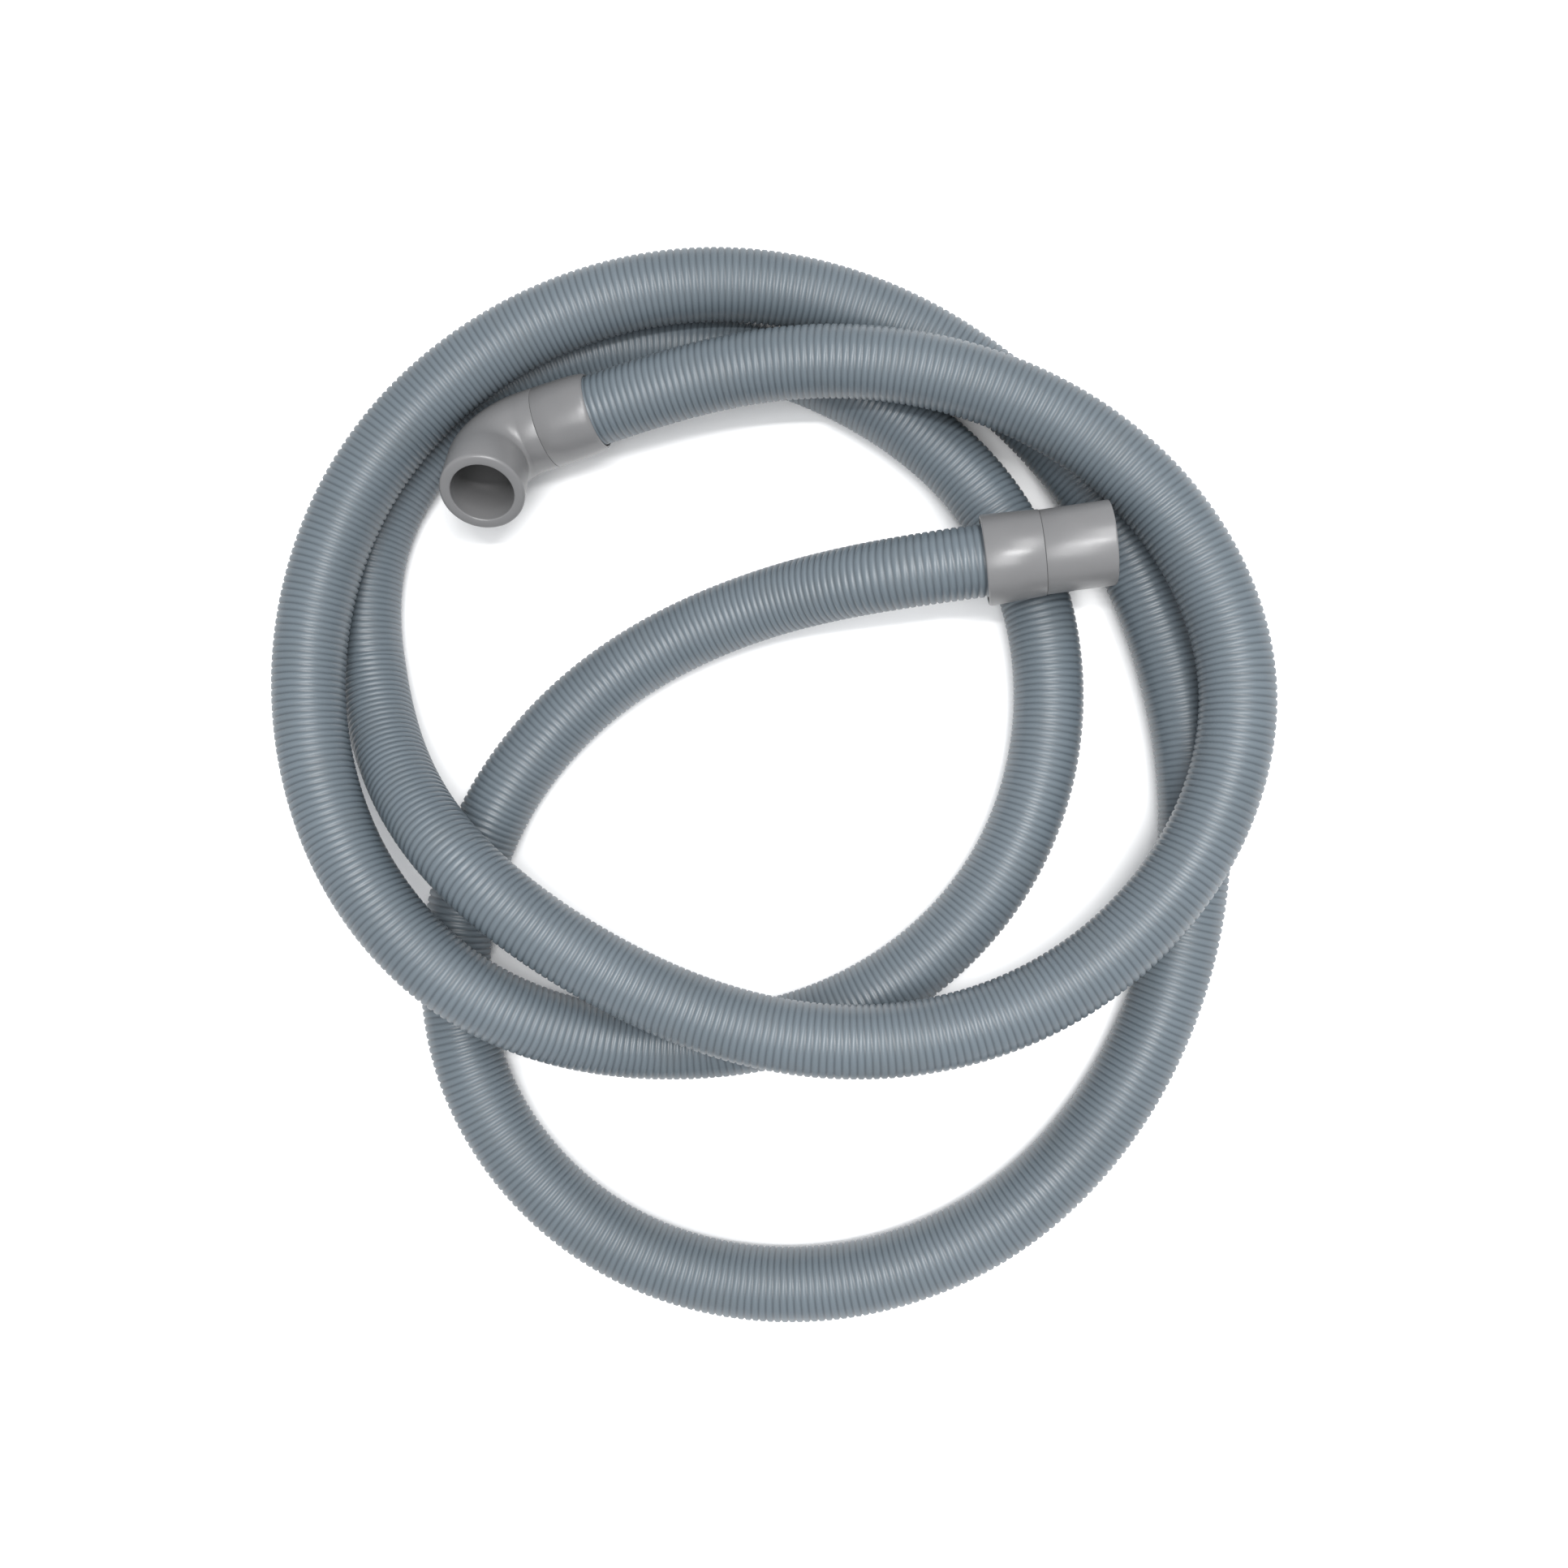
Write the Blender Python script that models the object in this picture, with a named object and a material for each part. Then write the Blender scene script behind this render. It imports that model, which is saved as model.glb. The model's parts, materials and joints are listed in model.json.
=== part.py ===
"""Sewer hose kit: a corrugated waste hose lying in three loose loops, with a swivelling elbow on one
end and a swivelling straight coupler on the other. Metres, +Z up, resting on the plane z = 0.

Each fitting is a collar screwed onto the hose, and an end piece whose neck turns inside the collar,
held by a snap ring and sealed by an O-ring. Distances "along a fitting" start at the collar's open
face, where the hose goes in, and run away from the hose.
"""

import math

import bmesh
import bpy
import numpy as np
from mathutils import Matrix, Vector

GAP = 0.0003

HOSE_RADIUS = 0.014
HOSE_WALL = 0.002
HOSE_SECTIONS = 80
HOSE_BEVEL_RESOLUTION = 4
HOSE_DEPTH = 0.0127

# The hose's centreline from the elbow's collar to the coupler's collar.
HOSE_ROUTE = [
    (-0.0798, 0.149, 0.0308),
    (0.010, 0.1654, 0.042),
    (0.0893, 0.1526, 0.0443),
    (0.1536, 0.1067, 0.0435),
    (0.182, 0.035, 0.043),
    (0.1586, -0.0383, 0.043),
    (0.0956, -0.0887, 0.042),
    (0.019, -0.0992, 0.0435),
    (-0.056, -0.0756, 0.043),
    (-0.1212, -0.0281, 0.0446),
    (-0.1634, 0.036, 0.0168),
    (-0.165, 0.110, 0.014),
    (-0.1166, 0.1684, 0.014),
    (-0.038, 0.1875, 0.014),
    (0.0375, 0.1642, 0.014),
    (0.0953, 0.1113, 0.014),
    (0.1158, 0.036, 0.014),
    (0.0939, -0.0385, 0.014),
    (0.035, -0.0898, 0.014),
    (-0.042, -0.1056, 0.017),
    (-0.1135, -0.0817, 0.0425),
    (-0.165, -0.0227, 0.045),
    (-0.1803, 0.054, 0.043),
    (-0.155, 0.129, 0.0432),
    (-0.0966, 0.1803, 0.0429),
    (-0.020, 0.1997, 0.0402),
    (0.0565, 0.1868, 0.025),
    (0.1186, 0.1416, 0.0142),
    (0.1602, 0.065, 0.014),
    (0.1726, -0.022, 0.014),
    (0.151, -0.106, 0.014),
    (0.094, -0.173, 0.014),
    (0.012, -0.200, 0.014),
    (-0.072, -0.177, 0.014),
    (-0.1236, -0.1083, 0.014),
    (-0.1174, -0.0212, 0.014),
    (-0.061, 0.046, 0.015),
    (0.0113, 0.0752, 0.0265),
    (0.050, 0.0798, 0.0405),
    (0.100, 0.085, 0.0463),
]

COLLAR_LENGTH = 0.022
COLLAR_BORE = 0.0143
STOP_START = 0.0145
STOP_END = 0.0160
STOP_RADIUS = 0.0122
CHAMBER_RADIUS = 0.0148
SEAL_OUTER = 0.0140
SEAL_INNER = 0.0122

NECK_START = STOP_END + GAP
NECK_RADIUS = 0.0138
NECK_BORE = 0.0115
RING_GROOVE_START = 0.0172
RING_GROOVE_END = 0.0188
RING_GROOVE_RADIUS = 0.0154
NECK_RING_GROOVE_RADIUS = 0.0130
SNAP_RING_INNER = 0.0133
SNAP_RING_OUTER = 0.0151
SNAP_RING_OPENING = math.radians(24)
O_RING_GROOVE_START = 0.0192
O_RING_GROOVE_END = 0.0214
O_RING_GROOVE_RADIUS = 0.0126
O_RING_CORD_RADIUS = 0.0008

ELBOW_COLLAR_MOUTH = 0.0150
ELBOW_RADIUS = 0.0164
ELBOW_MOUTH_RADIUS = 0.0167
ELBOW_CORNER = 0.0468
ELBOW_BEND_RADIUS = 0.0180
ELBOW_LEG = 0.0360
ELBOW_SOCKET_RADIUS = 0.0124
ELBOW_SOCKET_DEPTH = 0.0160
ELBOW_LEAN = math.radians(50)

COUPLER_COLLAR_MOUTH = 0.0175
COUPLER_COLLAR_SEAM = 0.0164
COUPLER_RADIUS = 0.0161
COUPLER_LENGTH = 0.0483
COUPLER_SOCKET_RADIUS = 0.0127
COUPLER_SOCKET_DEPTH = 0.0200
COUNTERBORE_RADIUS = 0.0162
COUNTERBORE_DEPTH = 0.0015

CHAMFER = 0.0006
ROUND_SIDES = 32
BEND_STEPS = 10
O_RING_CORD_SIDES = 8

HOSE_GREY = (0.19, 0.225, 0.245, 1.0)
FITTING_GREY = (0.30, 0.29, 0.285, 1.0)
RUBBER_BLACK = (0.03, 0.03, 0.03, 1.0)
STEEL = (0.55, 0.55, 0.56, 1.0)


def clear_scene():
    for item in list(bpy.data.objects):
        bpy.data.objects.remove(item, do_unlink=True)


def material(name, colour, roughness, metallic=0.0):
    made = bpy.data.materials.new(name)
    made.use_nodes = True
    shader = made.node_tree.nodes["Principled BSDF"]
    shader.inputs["Base Color"].default_value = colour
    shader.inputs["Roughness"].default_value = roughness
    shader.inputs["Metallic"].default_value = metallic
    return made


def natural_spline(points, knots, at):
    """The natural cubic spline through points, one at each knot, read at the given parameters."""
    step = np.diff(knots)
    slope = np.diff(points, axis=0) / step[:, None]
    system = np.eye(len(points))
    change = np.zeros_like(points)
    for i in range(1, len(points) - 1):
        system[i, i - 1 : i + 2] = step[i - 1], 2 * (step[i - 1] + step[i]), step[i]
        change[i] = 6 * (slope[i] - slope[i - 1])
    curvature = np.linalg.solve(system, change)
    span = np.clip(np.searchsorted(knots, at) - 1, 0, len(step) - 1)
    width = step[span][:, None]
    before = (knots[span + 1] - at)[:, None]
    after = (at - knots[span])[:, None]
    bent = (before**3 * curvature[span] + after**3 * curvature[span + 1]) / (6 * width)
    from_start = (points[span] / width - curvature[span] * width / 6) * before
    from_end = (points[span + 1] / width - curvature[span + 1] * width / 6) * after
    return bent + from_start + from_end


def hose_centreline(count):
    """Evenly spaced points along the hose, never lower than where the hose rests on the floor."""
    points = np.array(HOSE_ROUTE)
    chords = np.linalg.norm(np.diff(points, axis=0), axis=1)
    knots = np.concatenate([[0], np.cumsum(chords)])
    fine = np.linspace(0, knots[-1], 4000)
    path = natural_spline(points, knots, fine)
    run = np.concatenate([[0], np.cumsum(np.linalg.norm(np.diff(path, axis=0), axis=1))])
    even = np.interp(np.linspace(0, run[-1], count), run, fine)
    path = natural_spline(points, knots, even)
    path[:, 2] = np.maximum(path[:, 2], HOSE_RADIUS)
    return [Vector(point) for point in path]


def add_object(name, data, finish, parent=None):
    made = bpy.data.objects.new(name, data)
    bpy.context.scene.collection.objects.link(made)
    made.parent = parent
    data.materials.append(finish)
    return made


def add_empty(name, matrix, parent=None):
    made = bpy.data.objects.new(name, None)
    bpy.context.scene.collection.objects.link(made)
    made.parent = parent
    made.matrix_local = matrix
    return made


def make_hose(path, finish):
    """A hollow tube: a bevelled curve, whose wall is thickened inwards."""
    curve = bpy.data.curves.new("hose", "CURVE")
    curve.dimensions = "3D"
    curve.bevel_depth = HOSE_RADIUS
    curve.bevel_resolution = HOSE_BEVEL_RESOLUTION
    spline = curve.splines.new("POLY")
    spline.points.add(len(path) - 1)
    for place, point in zip(spline.points, path):
        place.co = (*point, 1)
    hose = add_object("hose", curve, finish)
    wall = hose.modifiers.new("wall", "SOLIDIFY")
    wall.thickness = HOSE_WALL
    wall.offset = -1
    return hose


def straight(distance):
    """The ring plane on a fitting's own axis: its centre and its two directions."""
    return Vector((0, 0, distance)), Vector((1, 0, 0)), Vector((0, 1, 0))


def round_the_elbow(distance):
    """The ring plane on the elbow's centreline, which turns a right angle from +Z towards +X."""
    bend_start = ELBOW_CORNER - ELBOW_BEND_RADIUS
    turn = min(max((distance - bend_start) / ELBOW_BEND_RADIUS, 0), math.pi / 2)
    along = Vector((math.sin(turn), 0, math.cos(turn)))
    across = Vector((math.cos(turn), 0, -math.sin(turn)))
    straight_run = distance - bend_start - turn * ELBOW_BEND_RADIUS
    middle = Vector((ELBOW_BEND_RADIUS, 0, bend_start))
    return middle - ELBOW_BEND_RADIUS * across + straight_run * along, across, Vector((0, 1, 0))


def round_solid(name, outline, finish, parent, plane=straight):
    """A closed ring of material: the outline's (distance, radius) points, each swept round the axis."""
    bm = bmesh.new()
    rings = []
    for distance, radius in outline:
        centre, across, sideways = plane(distance)
        ring = []
        for i in range(ROUND_SIDES):
            angle = 2 * math.pi * i / ROUND_SIDES
            ring.append(bm.verts.new(centre + radius * (math.cos(angle) * across + math.sin(angle) * sideways)))
        rings.append(ring)
    for ring, following in zip(rings, rings[1:] + rings[:1]):
        for i in range(ROUND_SIDES):
            j = (i + 1) % ROUND_SIDES
            bm.faces.new((ring[i], ring[j], following[j], following[i]))
    return finish_mesh(name, bm, finish, parent)


def finish_mesh(name, bm, finish, parent):
    bmesh.ops.recalc_face_normals(bm, faces=bm.faces)
    mesh = bpy.data.meshes.new(name)
    bm.to_mesh(mesh)
    bm.free()
    mesh.shade_smooth()
    mesh.set_sharp_from_angle(angle=math.radians(35))
    return add_object(name, mesh, finish, parent)


def collar_bore():
    """The collar's inside, from the seam back to the hose socket: neck chamber, stop and socket."""
    return [
        (COLLAR_LENGTH, CHAMBER_RADIUS),
        (RING_GROOVE_END, CHAMBER_RADIUS),
        (RING_GROOVE_END, RING_GROOVE_RADIUS),
        (RING_GROOVE_START, RING_GROOVE_RADIUS),
        (RING_GROOVE_START, CHAMBER_RADIUS),
        (STOP_END, CHAMBER_RADIUS),
        (STOP_END, STOP_RADIUS),
        (STOP_START, STOP_RADIUS),
        (STOP_START, COLLAR_BORE),
    ]


def neck_outside(shoulder_radius):
    """The end piece's outside up to its shoulder: the neck with its two grooves."""
    seam = COLLAR_LENGTH + GAP
    return [
        (NECK_START, NECK_BORE),
        (NECK_START, NECK_RADIUS),
        (RING_GROOVE_START, NECK_RADIUS),
        (RING_GROOVE_START, NECK_RING_GROOVE_RADIUS),
        (RING_GROOVE_END, NECK_RING_GROOVE_RADIUS),
        (RING_GROOVE_END, NECK_RADIUS),
        (O_RING_GROOVE_START, NECK_RADIUS),
        (O_RING_GROOVE_START, O_RING_GROOVE_RADIUS),
        (O_RING_GROOVE_END, O_RING_GROOVE_RADIUS),
        (O_RING_GROOVE_END, NECK_RADIUS),
        (seam, NECK_RADIUS),
        (seam, shoulder_radius),
    ]


def make_elbow_collar(finish, parent):
    outline = [
        (0, ELBOW_COLLAR_MOUTH),
        (0.0015, 0.0155),
        (0.0040, 0.0159),
        (0.0090, 0.0162),
        (0.0150, 0.0163),
        (COLLAR_LENGTH, ELBOW_RADIUS),
    ]
    return round_solid("elbow_collar", outline + collar_bore() + [(0, COLLAR_BORE)], finish, parent)


def make_coupler_collar(finish, parent):
    outline = [
        (0, COUPLER_COLLAR_MOUTH - CHAMFER),
        (CHAMFER, COUPLER_COLLAR_MOUTH),
        (COLLAR_LENGTH, COUPLER_COLLAR_SEAM),
    ]
    counterbore = [
        (COUNTERBORE_DEPTH, COLLAR_BORE),
        (COUNTERBORE_DEPTH, COUNTERBORE_RADIUS),
        (0, COUNTERBORE_RADIUS),
    ]
    return round_solid("coupler_collar", outline + collar_bore() + counterbore, finish, parent)


def make_elbow_body(finish, parent):
    bend_start = ELBOW_CORNER - ELBOW_BEND_RADIUS
    bend_end = bend_start + ELBOW_BEND_RADIUS * math.pi / 2
    mouth = bend_end + ELBOW_LEG - ELBOW_BEND_RADIUS
    socket_end = mouth - ELBOW_SOCKET_DEPTH
    bend = [bend_start + (bend_end - bend_start) * i / BEND_STEPS for i in range(BEND_STEPS + 1)]
    outside = [(distance, ELBOW_RADIUS) for distance in bend]
    rim = [
        (mouth - CHAMFER, ELBOW_MOUTH_RADIUS),
        (mouth, ELBOW_MOUTH_RADIUS - CHAMFER),
        (mouth, ELBOW_SOCKET_RADIUS + CHAMFER),
        (mouth - CHAMFER, ELBOW_SOCKET_RADIUS),
    ]
    socket = [(socket_end, NECK_BORE)]
    inside = [(distance, NECK_BORE) for distance in reversed(bend)]
    outline = neck_outside(ELBOW_RADIUS) + outside + rim + socket + inside
    return round_solid("elbow_body", outline, finish, parent, round_the_elbow)


def make_coupler_socket(finish, parent):
    end = COUPLER_LENGTH
    rim = [
        (end - CHAMFER, COUPLER_RADIUS),
        (end, COUPLER_RADIUS - CHAMFER),
        (end, COUPLER_SOCKET_RADIUS + CHAMFER),
        (end - CHAMFER, COUPLER_SOCKET_RADIUS),
    ]
    socket_end = end - COUPLER_SOCKET_DEPTH
    socket = [(socket_end, COUPLER_SOCKET_RADIUS), (socket_end, NECK_BORE)]
    return round_solid("coupler_socket", neck_outside(COUPLER_RADIUS) + rim + socket, finish, parent)


def make_hose_seal(name, finish, parent):
    start = HOSE_DEPTH + GAP
    end = STOP_START - GAP
    outline = [(start, SEAL_INNER), (start, SEAL_OUTER), (end, SEAL_OUTER), (end, SEAL_INNER)]
    return round_solid(name, outline, finish, parent)


def make_o_ring(name, finish, parent):
    middle = (O_RING_GROOVE_START + O_RING_GROOVE_END) / 2
    radius = (O_RING_GROOVE_RADIUS + CHAMBER_RADIUS) / 2
    outline = []
    for i in range(O_RING_CORD_SIDES):
        angle = 2 * math.pi * i / O_RING_CORD_SIDES
        outline.append(
            (middle - O_RING_CORD_RADIUS * math.cos(angle), radius + O_RING_CORD_RADIUS * math.sin(angle))
        )
    return round_solid(name, outline, finish, parent)


def make_snap_ring(name, finish, parent):
    """An open ring of square wire, spun from its end face, bridging the neck's and the collar's grooves."""
    bm = bmesh.new()
    half_opening = SNAP_RING_OPENING / 2
    corners = [
        (SNAP_RING_INNER, RING_GROOVE_START + GAP),
        (SNAP_RING_OUTER, RING_GROOVE_START + GAP),
        (SNAP_RING_OUTER, RING_GROOVE_END - GAP),
        (SNAP_RING_INNER, RING_GROOVE_END - GAP),
    ]
    face = bm.faces.new(
        [bm.verts.new((r * math.cos(half_opening), r * math.sin(half_opening), z)) for r, z in corners]
    )
    bmesh.ops.spin(
        bm,
        geom=[face, *face.edges, *face.verts],
        cent=(0, 0, 0),
        axis=(0, 0, 1),
        angle=2 * math.pi - SNAP_RING_OPENING,
        steps=ROUND_SIDES,
    )
    return finish_mesh(name, bm, finish, parent)


def fitting_frame(hose_end, outward):
    """The frame of a fitting on a hose end: origin at the collar's face, +Z away, +X as near up as it can be."""
    up = Vector((0, 0, 1))
    across = (up - up.dot(outward) * outward).normalized()
    sideways = outward.cross(across)
    matrix = Matrix((across, sideways, outward)).transposed().to_4x4()
    matrix.translation = hose_end - HOSE_DEPTH * outward
    return matrix


def main():
    clear_scene()
    hose_plastic = material("hose_plastic", HOSE_GREY, 0.42)
    fitting_plastic = material("fitting_plastic", FITTING_GREY, 0.45)
    rubber = material("seal_rubber", RUBBER_BLACK, 0.7)
    steel = material("ring_steel", STEEL, 0.3, 1.0)

    path = hose_centreline(HOSE_SECTIONS)
    make_hose(path, hose_plastic)

    elbow = add_empty("elbow_axis", fitting_frame(path[0], (path[0] - path[1]).normalized()))
    elbow_turn = add_empty("elbow_swivel", Matrix.Rotation(-ELBOW_LEAN, 4, "Z"), elbow)
    make_elbow_collar(fitting_plastic, elbow)
    make_hose_seal("elbow_hose_seal", rubber, elbow)
    make_elbow_body(fitting_plastic, elbow_turn)
    make_o_ring("elbow_o_ring", rubber, elbow_turn)
    make_snap_ring("elbow_retaining_ring", steel, elbow_turn)

    coupler = add_empty("coupler_axis", fitting_frame(path[-1], (path[-1] - path[-2]).normalized()))
    coupler_turn = add_empty("coupler_swivel", Matrix.Identity(4), coupler)
    make_coupler_collar(fitting_plastic, coupler)
    make_hose_seal("coupler_hose_seal", rubber, coupler)
    make_coupler_socket(fitting_plastic, coupler_turn)
    make_o_ring("coupler_o_ring", rubber, coupler_turn)
    make_snap_ring("coupler_retaining_ring", steel, coupler_turn)


main()
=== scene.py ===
"""A caravan waste hose kit: a corrugated hose in a loose coil, an elbow fitting and a straight coupler."""

import json
import math

import bmesh
import bpy
import numpy as np
from mathutils import Matrix, Vector


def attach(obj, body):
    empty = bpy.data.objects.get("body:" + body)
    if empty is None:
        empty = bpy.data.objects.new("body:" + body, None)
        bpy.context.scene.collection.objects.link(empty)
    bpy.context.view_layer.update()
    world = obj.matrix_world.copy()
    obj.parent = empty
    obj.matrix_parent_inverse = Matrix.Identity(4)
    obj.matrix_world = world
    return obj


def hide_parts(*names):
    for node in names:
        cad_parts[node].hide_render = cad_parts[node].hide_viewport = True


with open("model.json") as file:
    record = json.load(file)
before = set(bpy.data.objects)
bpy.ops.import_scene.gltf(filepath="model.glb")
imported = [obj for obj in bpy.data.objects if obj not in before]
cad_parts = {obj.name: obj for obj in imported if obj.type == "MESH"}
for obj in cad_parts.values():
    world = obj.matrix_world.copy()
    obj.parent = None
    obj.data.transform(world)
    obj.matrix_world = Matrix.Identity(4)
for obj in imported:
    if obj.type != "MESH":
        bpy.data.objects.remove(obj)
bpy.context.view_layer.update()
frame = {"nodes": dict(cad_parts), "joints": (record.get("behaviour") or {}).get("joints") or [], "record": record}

# The hose's route, from the elbow's end to the coupler's, in metres.
HOSE_ROUTE = [
    (-0.0798, 0.149, 0.0308),
    (0.010, 0.1654, 0.042),
    (0.0893, 0.1526, 0.0443),
    (0.1536, 0.1067, 0.0435),
    (0.182, 0.035, 0.043),
    (0.1586, -0.0383, 0.043),
    (0.0956, -0.0887, 0.042),
    (0.019, -0.0992, 0.0435),
    (-0.056, -0.0756, 0.043),
    (-0.1212, -0.0281, 0.0446),
    (-0.1634, 0.036, 0.0168),
    (-0.165, 0.110, 0.014),
    (-0.1166, 0.1684, 0.014),
    (-0.038, 0.1875, 0.014),
    (0.0375, 0.1642, 0.014),
    (0.0953, 0.1113, 0.014),
    (0.1158, 0.036, 0.014),
    (0.0939, -0.0385, 0.014),
    (0.035, -0.0898, 0.014),
    (-0.042, -0.1056, 0.017),
    (-0.1135, -0.0817, 0.0425),
    (-0.165, -0.0227, 0.045),
    (-0.1803, 0.054, 0.043),
    (-0.155, 0.129, 0.0432),
    (-0.0966, 0.1803, 0.0429),
    (-0.020, 0.1997, 0.0402),
    (0.0565, 0.1868, 0.025),
    (0.1186, 0.1416, 0.0142),
    (0.1602, 0.065, 0.014),
    (0.1726, -0.022, 0.014),
    (0.151, -0.106, 0.014),
    (0.094, -0.173, 0.014),
    (0.012, -0.200, 0.014),
    (-0.072, -0.177, 0.014),
    (-0.1236, -0.1083, 0.014),
    (-0.1174, -0.0212, 0.014),
    (-0.061, 0.046, 0.015),
    (0.0113, 0.0752, 0.0265),
    (0.050, 0.0798, 0.0405),
    (0.100, 0.085, 0.0463),
]
HOSE_RADIUS = 0.014
GROOVE_RADIUS = 0.0133
HOSE_BORE = 0.0120
RIB_PITCH = 0.0027
RIB_PROFILE = ((0.0, GROOVE_RADIUS), (0.25, HOSE_RADIUS), (0.75, HOSE_RADIUS))
HOSE_SIDES = 27
BORE_SECTIONS = 110

# Both fittings: distances from the collar's open face, along the fitting's own axis, and radii.
GAP = 0.0003
COLLAR_LENGTH = 0.022
COLLAR_BORE = 0.0143
STOP_START = 0.0145
STOP_END = 0.0160
STOP_RADIUS = 0.0122
CHAMBER_RADIUS = 0.0148
NECK_RADIUS = 0.0138
NECK_BORE = 0.0115
RING_GROOVE = (0.0172, 0.0188)
RING_GROOVE_RADII = (0.0130, 0.0154)
O_RING_GROOVE = (0.0192, 0.0214)
O_RING_GROOVE_RADIUS = 0.0126
SEAM_GAP = 0.0001
SEAM_ROUND = 0.0002

ELBOW_RADIUS = 0.0164
ELBOW_MOUTH_RADIUS = 0.0167
ELBOW_CORNER = 0.0468
ELBOW_BEND_RADIUS = 0.0180
ELBOW_LEG = 0.0360
ELBOW_SOCKET_RADIUS = 0.0124
ELBOW_SOCKET_DEPTH = 0.0160
ELBOW_RIM_ROUND = 0.0012
# The elbow collar swells from its face, quickly and then slowly: distance and radius.
ELBOW_COLLAR_FLARE = (
    (0, 0.0147),
    (0.0004, 0.0151),
    (0.0015, 0.0155),
    (0.0040, 0.0159),
    (0.0090, 0.0162),
    (0.0150, 0.0163),
)

COUPLER_COLLAR_MOUTH = 0.0175
COUPLER_COLLAR_SEAM = 0.0164
COUPLER_RADIUS = 0.0161
COUPLER_LENGTH = 0.0483
COUPLER_SOCKET_RADIUS = 0.0127
COUPLER_SOCKET_DEPTH = 0.0200
COUPLER_RIM_ROUND = 0.0007
COUNTERBORE_RADIUS = 0.0162
COUNTERBORE_DEPTH = 0.0015

FITTING_SIDES = 96
BEND_STEPS = 40
ROUND_STEPS = 4
SHARP_ANGLE = math.radians(40)

CAMERA_TARGET = Vector((0.007, 0.001, 0.0))
CAMERA_DISTANCE = 0.504
CAMERA_PITCH = math.radians(4)
CAMERA_LEAN = math.radians(4)
CAMERA_LENS = 27.37


def add_object(name, data):
    made = bpy.data.objects.new(name, data)
    bpy.context.scene.collection.objects.link(made)
    return made


def make_camera():
    data = bpy.data.cameras.new("camera")
    data.sensor_width = 36
    data.lens = CAMERA_LENS
    camera = add_object("camera", data)
    camera.rotation_euler = (CAMERA_PITCH, CAMERA_LEAN, 0)
    backwards = camera.rotation_euler.to_matrix() @ Vector((0, 0, CAMERA_DISTANCE))
    camera.location = CAMERA_TARGET + backwards
    bpy.context.scene.camera = camera


def natural_spline(points, knots, at):
    """The natural cubic spline through points, one at each knot, read at the given parameters."""
    step = np.diff(knots)
    slope = np.diff(points, axis=0) / step[:, None]
    system = np.eye(len(points))
    change = np.zeros_like(points)
    for i in range(1, len(points) - 1):
        system[i, i - 1 : i + 2] = step[i - 1], 2 * (step[i - 1] + step[i]), step[i]
        change[i] = 6 * (slope[i] - slope[i - 1])
    curvature = np.linalg.solve(system, change)
    span = np.clip(np.searchsorted(knots, at) - 1, 0, len(step) - 1)
    width = step[span][:, None]
    before = (knots[span + 1] - at)[:, None]
    after = (at - knots[span])[:, None]
    bend = (before**3 * curvature[span] + after**3 * curvature[span + 1]) / (6 * width)
    from_here = (points[span] / width - curvature[span] * width / 6) * before
    to_next = (points[span + 1] / width - curvature[span + 1] * width / 6) * after
    return bend + from_here + to_next


def hose_line():
    """The route's smooth curve as closely spaced points, and the distance along it to each."""
    points = np.array(HOSE_ROUTE)
    chords = np.linalg.norm(np.diff(points, axis=0), axis=1)
    knots = np.concatenate([[0], np.cumsum(chords)])
    line = natural_spline(points, knots, np.linspace(0, knots[-1], 12000))
    line[:, 2] = np.maximum(line[:, 2], HOSE_RADIUS)
    run = np.concatenate([[0], np.cumsum(np.linalg.norm(np.diff(line, axis=0), axis=1))])
    return line, run


def rings_along(line, run, distances, radii):
    """One ring of points for each distance along the line, square to it."""
    along = np.gradient(line, run, axis=0)
    centre = np.stack([np.interp(distances, run, line[:, k]) for k in range(3)], axis=1)
    along = np.stack([np.interp(distances, run, along[:, k]) for k in range(3)], axis=1)
    along /= np.linalg.norm(along, axis=1, keepdims=True)
    side = np.cross(along, (0.0, 0.0, 1.0))
    side /= np.linalg.norm(side, axis=1, keepdims=True)
    up = np.cross(side, along)
    turn = np.arange(HOSE_SIDES) * 2 * math.pi / HOSE_SIDES
    out = side[:, None] * np.cos(turn)[:, None] + up[:, None] * np.sin(turn)[:, None]
    return centre, centre[:, None] + out * np.asarray(radii)[:, None, None]


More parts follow.
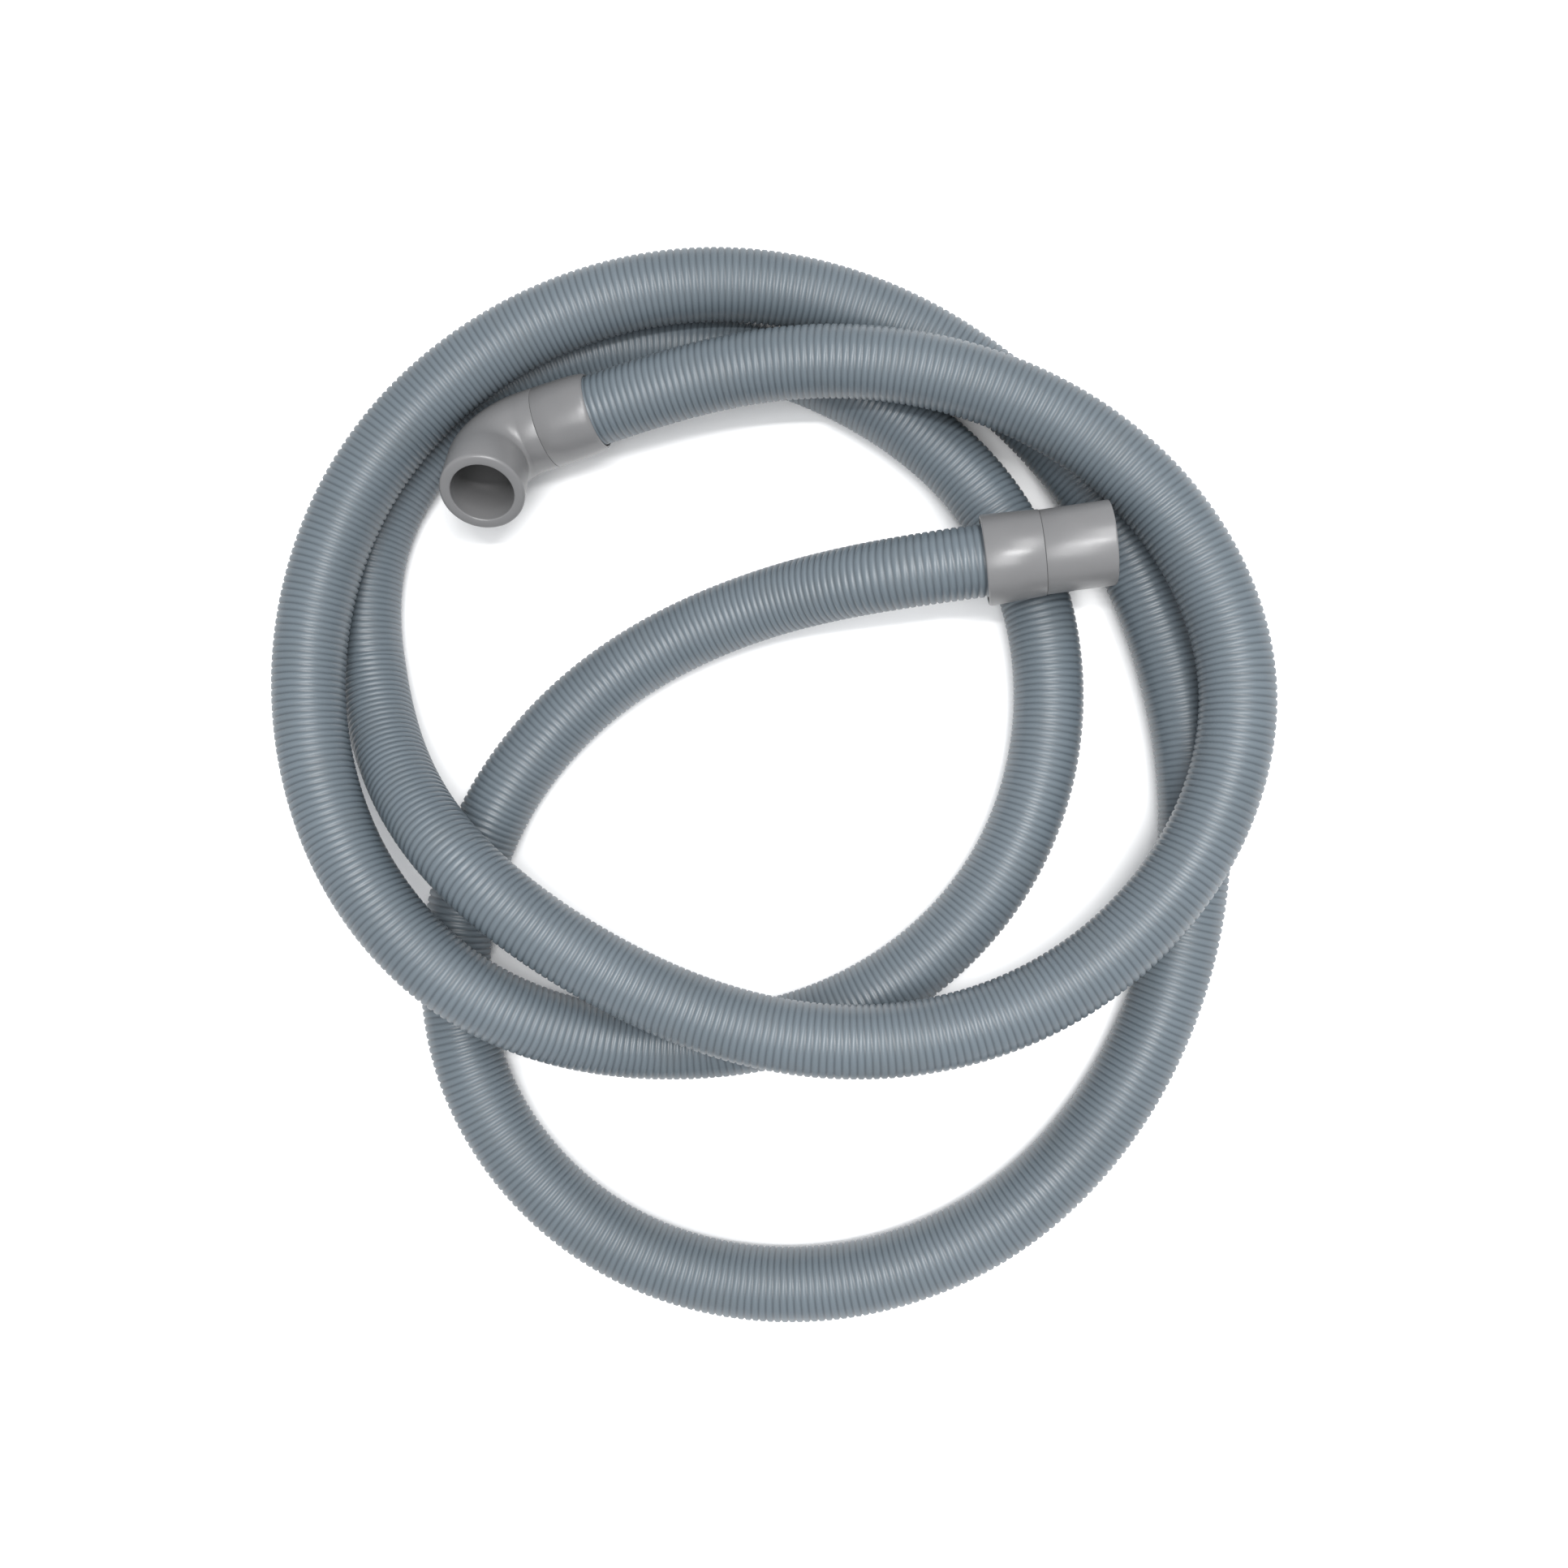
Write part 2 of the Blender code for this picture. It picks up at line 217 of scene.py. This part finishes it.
def make_hose(line, run):
    """The ribbed outside and the smooth bore as one closed surface, joined by a flat ring at each end."""
    ribs = round(run[-1] / RIB_PITCH)
    pitch = run[-1] / ribs
    starts = np.arange(ribs)[:, None] * pitch
    distances = (starts + np.array([share for share, _ in RIB_PROFILE]) * pitch).ravel()
    radii = np.tile([radius for _, radius in RIB_PROFILE], ribs)
    distances = np.append(distances, run[-1])
    radii = np.append(radii, GROOVE_RADIUS)
    centre, outside = rings_along(line, run, distances, radii)
    back = np.linspace(run[-1], 0, BORE_SECTIONS)
    _, bore = rings_along(line, run, back, np.full(BORE_SECTIONS, HOSE_BORE))
    rings = np.concatenate([outside, bore])
    # depth runs from 0 on the crests to 1 in the grooves and all along the bore; it is stored as the mask for
    # painted shade in the grooves and the bore.
    depth = np.concatenate([(HOSE_RADIUS - radii) / (HOSE_RADIUS - GROOVE_RADIUS), np.ones(BORE_SECTIONS)])

    count = len(rings)
    first = np.arange(count)[:, None] * HOSE_SIDES
    following = np.roll(np.arange(count), -1)[:, None] * HOSE_SIDES
    here = np.arange(HOSE_SIDES)
    onward = np.roll(here, -1)
    faces = np.stack([first + here, first + onward, following + onward, following + here], axis=2)
    mesh = bpy.data.meshes.new("waste_hose")
    mesh.from_pydata(rings.reshape(-1, 3), [], faces.reshape(-1, 4))
    groove_shade = mesh.attributes.new("groove_shade", "FLOAT", "POINT")
    groove_shade.data.foreach_set("value", np.repeat(depth, HOSE_SIDES).astype(np.float32))
    tidy_normals(mesh)
    mesh.shade_smooth()
    return add_object("waste_hose", mesh), centre


def tidy_normals(mesh):
    """Turns every face outwards."""
    bm = bmesh.new()
    bm.from_mesh(mesh)
    bmesh.ops.recalc_face_normals(bm, faces=bm.faces)
    bm.to_mesh(mesh)
    bm.free()


def straight(distance):
    """The ring plane on a fitting's own axis: its centre and its two directions."""
    return Vector((0, 0, distance)), Vector((1, 0, 0)), Vector((0, 1, 0))


def round_the_elbow(distance):
    """The ring plane on the elbow's centreline, which turns a right angle from +Z towards +X."""
    bend_start = ELBOW_CORNER - ELBOW_BEND_RADIUS
    turn = min(max((distance - bend_start) / ELBOW_BEND_RADIUS, 0), math.pi / 2)
    along = Vector((math.sin(turn), 0, math.cos(turn)))
    across = Vector((math.cos(turn), 0, -math.sin(turn)))
    straight_run = distance - bend_start - turn * ELBOW_BEND_RADIUS
    middle = Vector((ELBOW_BEND_RADIUS, 0, bend_start))
    return middle - ELBOW_BEND_RADIUS * across + straight_run * along, across, Vector((0, 1, 0))


def round_solid(name, outline, place, plane=straight):
    """A closed ring of material: the outline's (distance, radius) points, each swept round the axis."""
    bm = bmesh.new()
    rings = []
    for distance, radius in outline:
        centre, across, sideways = plane(distance)
        ring = []
        for i in range(FITTING_SIDES):
            angle = 2 * math.pi * i / FITTING_SIDES
            out = math.cos(angle) * across + math.sin(angle) * sideways
            ring.append(bm.verts.new(centre + radius * out))
        rings.append(ring)
    for ring, following in zip(rings, rings[1:] + rings[:1]):
        for i in range(FITTING_SIDES):
            j = (i + 1) % FITTING_SIDES
            bm.faces.new((ring[i], ring[j], following[j], following[i]))
    bmesh.ops.recalc_face_normals(bm, faces=bm.faces)
    mesh = bpy.data.meshes.new(name)
    bm.to_mesh(mesh)
    bm.free()
    mesh.transform(place)
    mesh.shade_smooth()
    mesh.set_sharp_from_angle(angle=SHARP_ANGLE)
    return add_object(name, mesh)


def collar_bore():
    """The collar's inside, from the seam back to the hose socket: neck chamber, stop and socket."""
    ring_start, ring_end = RING_GROOVE
    return [
        (COLLAR_LENGTH, CHAMBER_RADIUS),
        (ring_end, CHAMBER_RADIUS),
        (ring_end, RING_GROOVE_RADII[1]),
        (ring_start, RING_GROOVE_RADII[1]),
        (ring_start, CHAMBER_RADIUS),
        (STOP_END, CHAMBER_RADIUS),
        (STOP_END, STOP_RADIUS),
        (STOP_START, STOP_RADIUS),
        (STOP_START, COLLAR_BORE),
    ]


def neck_outside():
    """The end piece's outside up to its shoulder: the neck with its two grooves."""
    neck_start = STOP_END + GAP
    ring_start, ring_end = RING_GROOVE
    seal_start, seal_end = O_RING_GROOVE
    return [
        (neck_start, NECK_BORE),
        (neck_start, NECK_RADIUS),
        (ring_start, NECK_RADIUS),
        (ring_start, RING_GROOVE_RADII[0]),
        (ring_end, RING_GROOVE_RADII[0]),
        (ring_end, NECK_RADIUS),
        (seal_start, NECK_RADIUS),
        (seal_start, O_RING_GROOVE_RADIUS),
        (seal_end, O_RING_GROOVE_RADIUS),
        (seal_end, NECK_RADIUS),
        (COLLAR_LENGTH + SEAM_GAP, NECK_RADIUS),
    ]


def collar_edge(radius):
    """The collar's rounded edge at the seam."""
    return [
        (COLLAR_LENGTH - SEAM_ROUND, radius),
        (COLLAR_LENGTH - SEAM_ROUND / 3, radius - SEAM_ROUND / 3),
        (COLLAR_LENGTH, radius - SEAM_ROUND),
    ]


def make_elbow_collar(place):
    outside = list(ELBOW_COLLAR_FLARE) + collar_edge(ELBOW_RADIUS)
    return round_solid("elbow_collar_shell", outside + collar_bore() + [(0, COLLAR_BORE)], place)


def make_coupler_collar(place):
    outside = [
        (0, COUPLER_COLLAR_MOUTH - 0.0006),
        (0.0002, COUPLER_COLLAR_MOUTH - 0.0002),
        (0.0006, COUPLER_COLLAR_MOUTH),
    ] + collar_edge(COUPLER_COLLAR_SEAM)
    counterbore = [
        (COUNTERBORE_DEPTH, COLLAR_BORE),
        (COUNTERBORE_DEPTH, COUNTERBORE_RADIUS),
        (0, COUNTERBORE_RADIUS),
    ]
    return round_solid("coupler_collar_shell", outside + collar_bore() + counterbore, place)


def shoulder(radius):
    """The end piece's rounded edge at the seam."""
    seam = COLLAR_LENGTH + SEAM_GAP
    return [
        (seam, radius - SEAM_ROUND),
        (seam + SEAM_ROUND / 3, radius - SEAM_ROUND / 3),
        (seam + SEAM_ROUND, radius),
    ]


def rim(end, outer, bore, edge):
    """A rounded rim round an open end, from the outside to the bore."""
    made = []
    for k in range(ROUND_STEPS + 1):
        angle = k / ROUND_STEPS * math.pi / 2
        made.append((end - edge * (1 - math.sin(angle)), outer - edge * (1 - math.cos(angle))))
    inner_edge = edge / 2
    for k in range(ROUND_STEPS + 1):
        angle = k / ROUND_STEPS * math.pi / 2
        made.append((end - inner_edge * (1 - math.cos(angle)), bore + inner_edge * (1 - math.sin(angle))))
    return made


def make_elbow(place):
    bend_start = ELBOW_CORNER - ELBOW_BEND_RADIUS
    bend_end = bend_start + ELBOW_BEND_RADIUS * math.pi / 2
    mouth = bend_end + ELBOW_LEG - ELBOW_BEND_RADIUS
    socket_end = mouth - ELBOW_SOCKET_DEPTH
    bend = [bend_start + (bend_end - bend_start) * i / BEND_STEPS for i in range(BEND_STEPS + 1)]
    outside = [(distance, ELBOW_RADIUS) for distance in bend]
    inside = [(distance, NECK_BORE) for distance in reversed(bend)]
    socket = [(socket_end, NECK_BORE)]
    end = rim(mouth, ELBOW_MOUTH_RADIUS, ELBOW_SOCKET_RADIUS, ELBOW_RIM_ROUND)
    outline = neck_outside() + shoulder(ELBOW_RADIUS) + outside + end + socket + inside
    return round_solid("elbow_shell", outline, place, round_the_elbow)


def make_coupler(place):
    end = rim(COUPLER_LENGTH, COUPLER_RADIUS, COUPLER_SOCKET_RADIUS, COUPLER_RIM_ROUND)
    socket_end = COUPLER_LENGTH - COUPLER_SOCKET_DEPTH
    socket = [(socket_end, COUPLER_SOCKET_RADIUS), (socket_end, NECK_BORE)]
    return round_solid("coupler_shell", neck_outside() + shoulder(COUPLER_RADIUS) + end + socket, place)


def fitting_place(joint_name, mount_name, reverse):
    """A fitting's frame: origin on its collar's face, +Z away from the hose, +X as the mount faces or up."""
    joint = next(j for j in frame["joints"] if j["name"] == joint_name)
    mount = next(m for m in frame["record"]["mounts"] if m["name"] == mount_name)
    outward = Vector(joint["axis"]).normalized() * (-1 if reverse else 1)
    across = Vector(mount["axis"])
    if across.angle(outward) < 0.5:
        across = Vector((0, 0, 1))
    across = (across - across.project(outward)).normalized()
    turned = Matrix((across, outward.cross(across), outward)).transposed()
    return Matrix.Translation(joint["pos_m"]) @ turned.to_4x4()


class Finish:
    """A Principled material, with short calls for the nodes that drive it."""

    def __init__(self, name):
        self.material = bpy.data.materials.new(name)
        self.material.use_nodes = True
        self.nodes = self.material.node_tree.nodes
        self.links = self.material.node_tree.links
        self.shader = self.nodes["Principled BSDF"]
        self.place = self.nodes.new("ShaderNodeTexCoord").outputs["Object"]

    def noise(self, scale, detail, roughness=0.5):
        node = self.nodes.new("ShaderNodeTexNoise")
        node.inputs["Scale"].default_value = scale
        node.inputs["Detail"].default_value = detail
        node.inputs["Roughness"].default_value = roughness
        self.links.new(self.place, node.inputs["Vector"])
        return node.outputs["Fac"]

    def spread(self, value, low, high, from_low=0.35, from_high=0.65):
        node = self.nodes.new("ShaderNodeMapRange")
        node.inputs["From Min"].default_value = from_low
        node.inputs["From Max"].default_value = from_high
        node.inputs["To Min"].default_value = low
        node.inputs["To Max"].default_value = high
        self.links.new(value, node.inputs["Value"])
        return node.outputs["Result"]

    def blend(self, share, first, second):
        node = self.nodes.new("ShaderNodeMix")
        node.data_type = "RGBA"
        for socket, value in ((node.inputs[0], share), (node.inputs[6], first), (node.inputs[7], second)):
            if isinstance(value, bpy.types.NodeSocket):
                self.links.new(value, socket)
            else:
                socket.default_value = value
        return node.outputs[2]

    def attribute(self, name):
        node = self.nodes.new("ShaderNodeAttribute")
        node.attribute_name = name
        return node.outputs["Fac"]

    def bump(self, height, distance, strength):
        node = self.nodes.new("ShaderNodeBump")
        node.inputs["Distance"].default_value = distance
        node.inputs["Strength"].default_value = strength
        self.links.new(height, node.inputs["Height"])
        self.links.new(node.outputs["Normal"], self.shader.inputs["Normal"])

    def drive(self, socket, value):
        self.links.new(value, self.shader.inputs[socket])


def hose_finish():
    made = Finish("hose_plastic")
    shade = made.blend(
        made.spread(made.noise(14, 3), 0, 1), (0.092, 0.114, 0.131, 1), (0.106, 0.130, 0.149, 1)
    )
    # Painted shade: the grooves and the bore are darkened towards a dark blue-grey in place of the shade that
    # falls in them.
    groove_shade = made.spread(made.attribute("groove_shade"), 0, 0.62, 0, 1)
    shade = made.blend(groove_shade, shade, (0.033, 0.042, 0.051, 1))
    grime = made.spread(made.noise(60, 5, 0.6), 0, 0.12, 0.52, 0.75)
    shade = made.blend(grime, shade, (0.090, 0.090, 0.080, 1))
    made.drive("Base Color", shade)
    made.drive("Roughness", made.spread(made.noise(35, 4), 0.38, 0.48))
    made.bump(made.noise(1400, 2), 0.00006, 0.35)
    return made.material


def fitting_finish():
    made = Finish("fitting_plastic")
    shade = made.blend(
        made.spread(made.noise(28, 4), 0, 1), (0.138, 0.138, 0.140, 1), (0.153, 0.153, 0.155, 1)
    )
    flow = made.spread(made.noise(120, 5, 0.65), 0, 0.2, 0.5, 0.8)
    shade = made.blend(flow, shade, (0.124, 0.123, 0.123, 1))
    made.drive("Base Color", shade)
    made.drive("Roughness", made.spread(made.noise(90, 4), 0.28, 0.35))
    made.bump(made.noise(900, 3), 0.00005, 0.3)
    return made.material


def rubber_finish():
    made = Finish("seal_rubber")
    shade = made.blend(made.noise(300, 3), (0.018, 0.018, 0.018, 1), (0.04, 0.04, 0.04, 1))
    made.drive("Base Color", shade)
    made.drive("Roughness", made.spread(made.noise(500, 3), 0.6, 0.8))
    made.bump(made.noise(2500, 2), 0.00003, 0.4)
    return made.material


def steel_finish():
    made = Finish("ring_steel")
    made.shader.inputs["Metallic"].default_value = 1.0
    shade = made.blend(made.noise(400, 4), (0.50, 0.50, 0.51, 1), (0.62, 0.62, 0.63, 1))
    made.drive("Base Color", shade)
    made.drive("Roughness", made.spread(made.noise(900, 3), 0.22, 0.38))
    made.bump(made.noise(3000, 2), 0.00002, 0.3)
    return made.material


def give(piece, finish):
    piece.data.materials.clear()
    piece.data.materials.append(finish)


def make_floor():
    bm = bmesh.new()
    bmesh.ops.create_grid(bm, x_segments=1, y_segments=1, size=6)
    mesh = bpy.data.meshes.new("floor")
    bm.to_mesh(mesh)
    bm.free()
    floor = add_object("floor", mesh)
    made = Finish("floor")
    shade = made.blend(made.spread(made.noise(3, 2), 0, 1), (0.93, 0.93, 0.93, 1), (0.95, 0.95, 0.95, 1))
    made.drive("Base Color", shade)
    made.shader.inputs["Roughness"].default_value = 0.9
    mesh.materials.append(made.material)


def add_area_light(name, place, target, size, power):
    """A rectangle of light, with its first side along world X as far as its aim allows."""
    data = bpy.data.lights.new(name, "AREA")
    data.shape = "RECTANGLE"
    data.size, data.size_y = size
    data.energy = power
    light = add_object(name, data)
    light.location = place
    back = (Vector(place) - Vector(target)).normalized()
    across = (Vector((1, 0, 0)) - back * back.x).normalized()
    light.rotation_euler = Matrix((across, back.cross(across), back)).transposed().to_euler()


def light_scene():
    add_area_light("key", (0.35, 0.40, 1.10), (0.02, 0, 0), (0.50, 0.50), 6)
    add_area_light("strip", (0.14, 0.03, 0.95), (0.05, 0.02, 0), (0.40, 0.04), 4.6)
    add_area_light("fill", (0, -0.22, 0.85), (0, 0, 0), (0.40, 0.40), 3.8)
    world = bpy.data.worlds.new("studio")
    world.use_nodes = True
    world.node_tree.nodes["Background"].inputs["Color"].default_value = (0.95, 0.97, 1.0, 1)
    world.node_tree.nodes["Background"].inputs["Strength"].default_value = 0.75
    bpy.context.scene.world = world
    bpy.context.scene.view_settings.view_transform = "Standard"


make_camera()
line, run = hose_line()
hose, ring_centres = make_hose(line, run)

elbow_place = fitting_place("elbow_swivel", "elbow_mouth_rim", reverse=True)
coupler_place = fitting_place("coupler_swivel", "coupler_end_rim", reverse=False)
coupler_collar = make_coupler_collar(coupler_place)
coupler = make_coupler(coupler_place)
elbow_collar = make_elbow_collar(elbow_place)
elbow = make_elbow(elbow_place)

hose_plastic = hose_finish()
fitting_plastic = fitting_finish()
for piece, node, body, finish, slot in (
    (hose, "hose", "hose_assembly", hose_plastic, "hose_plastic"),
    (elbow_collar, "elbow_collar", "hose_assembly", fitting_plastic, "fitting_plastic"),
    (elbow, "elbow_body", "elbow", fitting_plastic, "fitting_plastic"),
    (coupler_collar, "coupler_collar", "hose_assembly", fitting_plastic, "fitting_plastic"),
    (coupler, "coupler_socket", "coupler_end", fitting_plastic, "fitting_plastic"),
):
    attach(piece, body)
    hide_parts(node)
    give(piece, finish)

seal_rubber = rubber_finish()
ring_steel = steel_finish()
for end in ("elbow", "coupler"):
    for part, finish, slot in (
        ("hose_seal", seal_rubber, "seal_rubber"),
        ("o_ring", seal_rubber, "seal_rubber"),
        ("retaining_ring", ring_steel, "ring_steel"),
    ):
        give(frame["nodes"][f"{end}_{part}"], finish)

make_floor()
light_scene()
